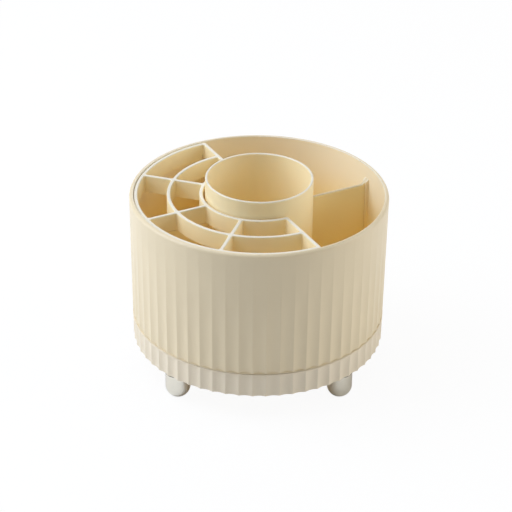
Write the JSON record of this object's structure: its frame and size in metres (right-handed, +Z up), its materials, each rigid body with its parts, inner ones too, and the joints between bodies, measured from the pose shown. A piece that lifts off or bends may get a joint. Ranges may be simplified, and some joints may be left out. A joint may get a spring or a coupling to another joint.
{
  "type": "rotating makeup brush holder",
  "caption": "Fluted round brush holder whose drum turns on a low base with bullet feet, with a centre cup, dividers and a lift-out grid of open cells.",
  "frame": {"origin": "on the table under the drum's axis of rotation, level with the flats under the four feet", "axes": "+Z up along the axis of rotation, front towards -Y, +X to the right of somebody who faces the front"},
  "size_m": [0.16, 0.16, 0.1262],
  "materials": {
    "cream_plastic": "satin moulded cream ABS, warm and slightly translucent-looking in its depths",
    "base_plastic": "satin moulded cream ABS, a touch greyer than the drum",
    "foot_chrome": "bright pearly chrome plating",
    "steel": "zinc plated steel",
    "nylon": "natural nylon"
  },
  "bodies": {
    "base": {"base_housing": "base_plastic", "foot_front_left": "foot_chrome", "foot_front_right": "foot_chrome", "foot_rear_right": "foot_chrome", "foot_rear_left": "foot_chrome", "foot_screws": "steel", "lower_race": "steel", "pivot_bush": "nylon"},
    "cage": {"ball_cage": "nylon", "bearing_balls": "steel"},
    "drum": {"drum_shell": "cream_plastic", "upper_race": "steel", "pivot_washer": "steel", "pivot_screw": "steel", "centre_cup": "cream_plastic", "cup_screws": "steel", "divider_rear": "cream_plastic", "divider_middle": "cream_plastic", "divider_front": "cream_plastic"},
    "grid": {"grid_insert": "cream_plastic"},
    "divider": {"divider_open": "cream_plastic"}
  },
  "joints": [
    {"name": "drum_spin", "type": "hinge", "parent": "base", "child": "drum", "pos_m": [0, 0, 0.0308], "axis": [0, 0, 1], "continuous": true},
    {"name": "cage_spin", "type": "hinge", "parent": "base", "child": "cage", "pos_m": [0, 0, 0.0308], "axis": [0, 0, 1], "continuous": true},
    {"name": "grid_lift", "type": "slide", "parent": "drum", "child": "grid", "axis": [0, 0, 1], "range_m": [0, 0.04]},
    {"name": "divider_lift", "type": "slide", "parent": "drum", "child": "divider", "axis": [0, 0, 1], "range_m": [0, 0.09]}
  ],
  "couplings": [
    {"joint": "cage_spin", "follows": "drum_spin", "ratio": 0.5}
  ]
}
